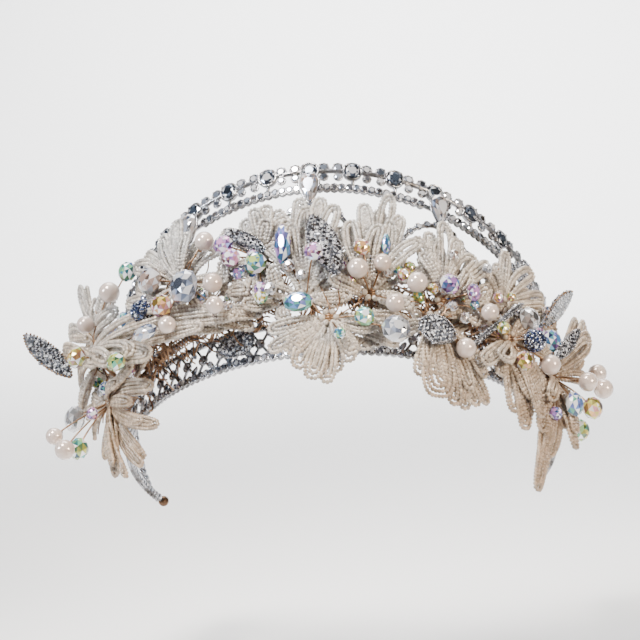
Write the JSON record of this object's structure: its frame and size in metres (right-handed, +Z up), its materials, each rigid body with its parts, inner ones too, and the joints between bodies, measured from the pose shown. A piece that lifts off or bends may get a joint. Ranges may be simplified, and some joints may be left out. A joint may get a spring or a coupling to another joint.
{
  "type": "beaded flower crown",
  "caption": "Open bridal tiara with stone-set rails, pointed gables and a garland of seed-bead loop flowers, pearls, crystals and pave leaves on its front.",
  "frame": {"origin": "centre of the ellipse of the rim's bottom edge, where the head goes in", "axes": "+X to the wearer's left, +Y towards the back of the head, +Z up, with the crown leaning back 34 degrees as it is worn"},
  "size_m": [0.1728, 0.1027, 0.1069],
  "materials": {
    "silver_setting": "bright silver plate with clear and grey-blue stones",
    "ivory_seed_beads": "glossy ivory glass seed beads on wire",
    "pearl": "pinkish ivory imitation pearl",
    "cut_crystal": "faceted crystal with a rainbow coat",
    "navy_pave": "small dark blue stones set close together",
    "gunmetal_pave": "small grey stones in a dark metal leaf"
  },
  "bodies": {
    "root": {"tiara_frame": "silver_setting", "pear_drop_left": "cut_crystal", "pear_drop_middle": "cut_crystal", "pear_drop_right": "cut_crystal", "flower_left_drop": "ivory_seed_beads", "flower_left_sweep": "ivory_seed_beads", "flower_left_rear": "ivory_seed_beads", "flower_left_high": "ivory_seed_beads", "flower_mid_left_high": "ivory_seed_beads", "flower_centre_high": "ivory_seed_beads", "flower_right_high": "ivory_seed_beads", "flower_right_fan": "ivory_seed_beads", "flower_shoulder": "ivory_seed_beads", "flower_centre_drop": "ivory_seed_beads", "flower_right_drop": "ivory_seed_beads", "flower_far_right_drop": "ivory_seed_beads", "flower_right_end": "ivory_seed_beads", "pearl_1": "pearl", "pearl_2": "pearl", "pearl_3": "pearl", "pearl_4": "pearl", "pearl_5": "pearl", "pearl_6": "pearl", "pearl_7": "pearl", "pearl_8": "pearl", "pearl_9": "pearl", "pearl_10": "pearl", "pearl_11": "pearl", "pearl_12": "pearl", "pearl_13": "pearl", "pearl_14": "pearl", "pearl_15": "pearl", "pearl_16": "pearl", "pearl_17": "pearl", "pearl_18": "pearl", "crystal_1": "cut_crystal", "crystal_2": "cut_crystal", "crystal_3": "cut_crystal", "crystal_4": "cut_crystal", "crystal_5": "cut_crystal", "crystal_6": "cut_crystal", "crystal_7": "cut_crystal", "crystal_8": "cut_crystal", "crystal_9": "cut_crystal", "crystal_10": "cut_crystal", "crystal_11": "cut_crystal", "crystal_12": "cut_crystal", "crystal_13": "cut_crystal", "crystal_14": "cut_crystal", "crystal_15": "cut_crystal", "pave_ball_left": "navy_pave", "pave_ball_right": "navy_pave", "leaf_far_left": "gunmetal_pave", "leaf_base": "gunmetal_pave", "leaf_centre": "gunmetal_pave", "leaf_mid_left": "gunmetal_pave", "leaf_right_drop": "gunmetal_pave", "leaf_right_up": "gunmetal_pave", "leaf_right_small": "gunmetal_pave", "leaf_shoulder": "gunmetal_pave"}
  },
  "joints": []
}
